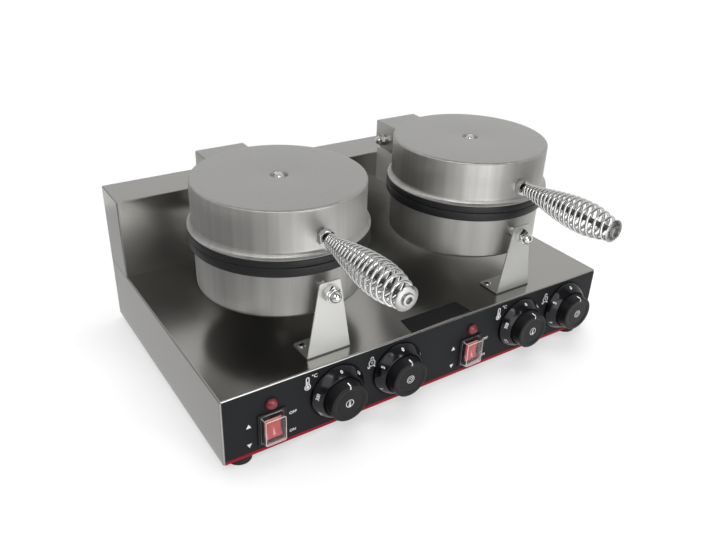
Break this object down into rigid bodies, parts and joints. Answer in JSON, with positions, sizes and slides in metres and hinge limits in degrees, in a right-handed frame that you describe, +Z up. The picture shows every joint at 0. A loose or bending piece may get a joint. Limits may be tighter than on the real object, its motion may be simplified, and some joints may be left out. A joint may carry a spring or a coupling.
{
  "type": "double waffle maker",
  "caption": "Tabletop double waffle maker: folded steel base with a control panel and two round irons whose lids swing up on rear hinges, with coil grips.",
  "frame": {"origin": "centre of the whole outline's footprint, on the plane the feet stand on", "axes": "+X to the right as seen from the control panel, +Y to the back, +Z up"},
  "size_m": [0.55, 0.476, 0.2666],
  "materials": {
    "stainless": "brushed stainless steel sheet",
    "chromed": "bright plated fasteners and grip wire",
    "nonstick": "black non-stick coating on cast aluminium",
    "black_panel": "black printed panel film with a red stripe along its foot",
    "black_knob": "moulded black plastic, half gloss",
    "black_plastic": "black moulded plastic",
    "control_body": "hidden control housings",
    "heater_tube": "steel-clad band heater",
    "clear_cover": "clear flexible splash cover",
    "red_rocker": "translucent red rocker",
    "red_lens": "red lamp lens",
    "white_print": "white printed scales and signs",
    "foot_rubber": "black rubber feet"
  },
  "bodies": {
    "base": {"base_housing": "stainless", "front_panel": "black_panel", "bottom_plate": "stainless", "rear_box": "stainless", "feet": "foot_rubber", "lower_rims": "nonstick", "lower_heaters": "heater_tube", "pan_bolts": "chromed", "bracket_screws": "chromed", "support_spacers": "chromed", "support_nuts": "chromed", "switch_frames": "black_plastic", "switch_covers": "clear_cover", "lamp_bodies": "black_plastic", "lamp_lenses": "red_lens", "thermostat_dials": "black_knob", "timer_dials": "black_knob", "control_bodies": "control_body", "terminal_block": "control_body", "cord_gland": "black_plastic", "left_hinge_bracket": "stainless", "left_lower_shell": "stainless", "left_lower_plate": "nonstick", "left_support_bracket": "stainless", "right_hinge_bracket": "stainless", "right_lower_shell": "stainless", "right_lower_plate": "nonstick", "right_support_bracket": "stainless"},
    "left_lid": {"left_upper_shell": "stainless", "left_upper_plate": "nonstick", "left_upper_rim": "nonstick", "left_upper_heater": "heater_tube", "left_lid_bolt": "chromed", "left_hinge_arm": "stainless", "left_hinge_pin": "chromed", "left_hinge_nuts": "chromed", "left_handle_nut": "chromed", "left_handle_bolt": "chromed", "left_handle_spring": "chromed"},
    "right_lid": {"right_upper_shell": "stainless", "right_upper_plate": "nonstick", "right_upper_rim": "nonstick", "right_upper_heater": "heater_tube", "right_lid_bolt": "chromed", "right_hinge_arm": "stainless", "right_hinge_pin": "chromed", "right_hinge_nuts": "chromed", "right_handle_nut": "chromed", "right_handle_bolt": "chromed", "right_handle_spring": "chromed"},
    "left_thermostat_control": {"left_thermostat_knob": "black_knob", "left_thermostat_shaft": "chromed"},
    "left_timer_control": {"left_timer_knob": "black_knob", "left_timer_shaft": "chromed"},
    "left_switch": {"left_switch_rocker": "red_rocker"},
    "right_thermostat_control": {"right_thermostat_knob": "black_knob", "right_thermostat_shaft": "chromed"},
    "right_timer_control": {"right_timer_knob": "black_knob", "right_timer_shaft": "chromed"},
    "right_switch": {"right_switch_rocker": "red_rocker"}
  },
  "joints": [
    {"name": "left_lid_hinge", "type": "hinge", "parent": "base", "child": "left_lid", "pos_m": [-0.1375, 0.146, 0.2225], "axis": [-1, 0, 0], "range_deg": [0, 90]},
    {"name": "right_lid_hinge", "type": "hinge", "parent": "base", "child": "right_lid", "pos_m": [0.1375, 0.146, 0.2225], "axis": [-1, 0, 0], "range_deg": [0, 90]},
    {"name": "left_thermostat_turn", "type": "hinge", "parent": "base", "child": "left_thermostat_control", "pos_m": [-0.1375, -0.139, 0.055], "axis": [0, 1, 0], "range_deg": [0, 285]},
    {"name": "left_timer_turn", "type": "hinge", "parent": "base", "child": "left_timer_control", "pos_m": [-0.0555, -0.139, 0.055], "axis": [0, 1, 0], "range_deg": [0, 300]},
    {"name": "left_switch_rock", "type": "hinge", "parent": "base", "child": "left_switch", "pos_m": [-0.2185, -0.121, 0.04], "axis": [1, 0, 0], "range_deg": [0, 15]},
    {"name": "right_thermostat_turn", "type": "hinge", "parent": "base", "child": "right_thermostat_control", "pos_m": [0.1375, -0.139, 0.055], "axis": [0, 1, 0], "range_deg": [0, 285]},
    {"name": "right_timer_turn", "type": "hinge", "parent": "base", "child": "right_timer_control", "pos_m": [0.2195, -0.139, 0.055], "axis": [0, 1, 0], "range_deg": [0, 300]},
    {"name": "right_switch_rock", "type": "hinge", "parent": "base", "child": "right_switch", "pos_m": [0.0565, -0.121, 0.04], "axis": [1, 0, 0], "range_deg": [0, 15]}
  ]
}
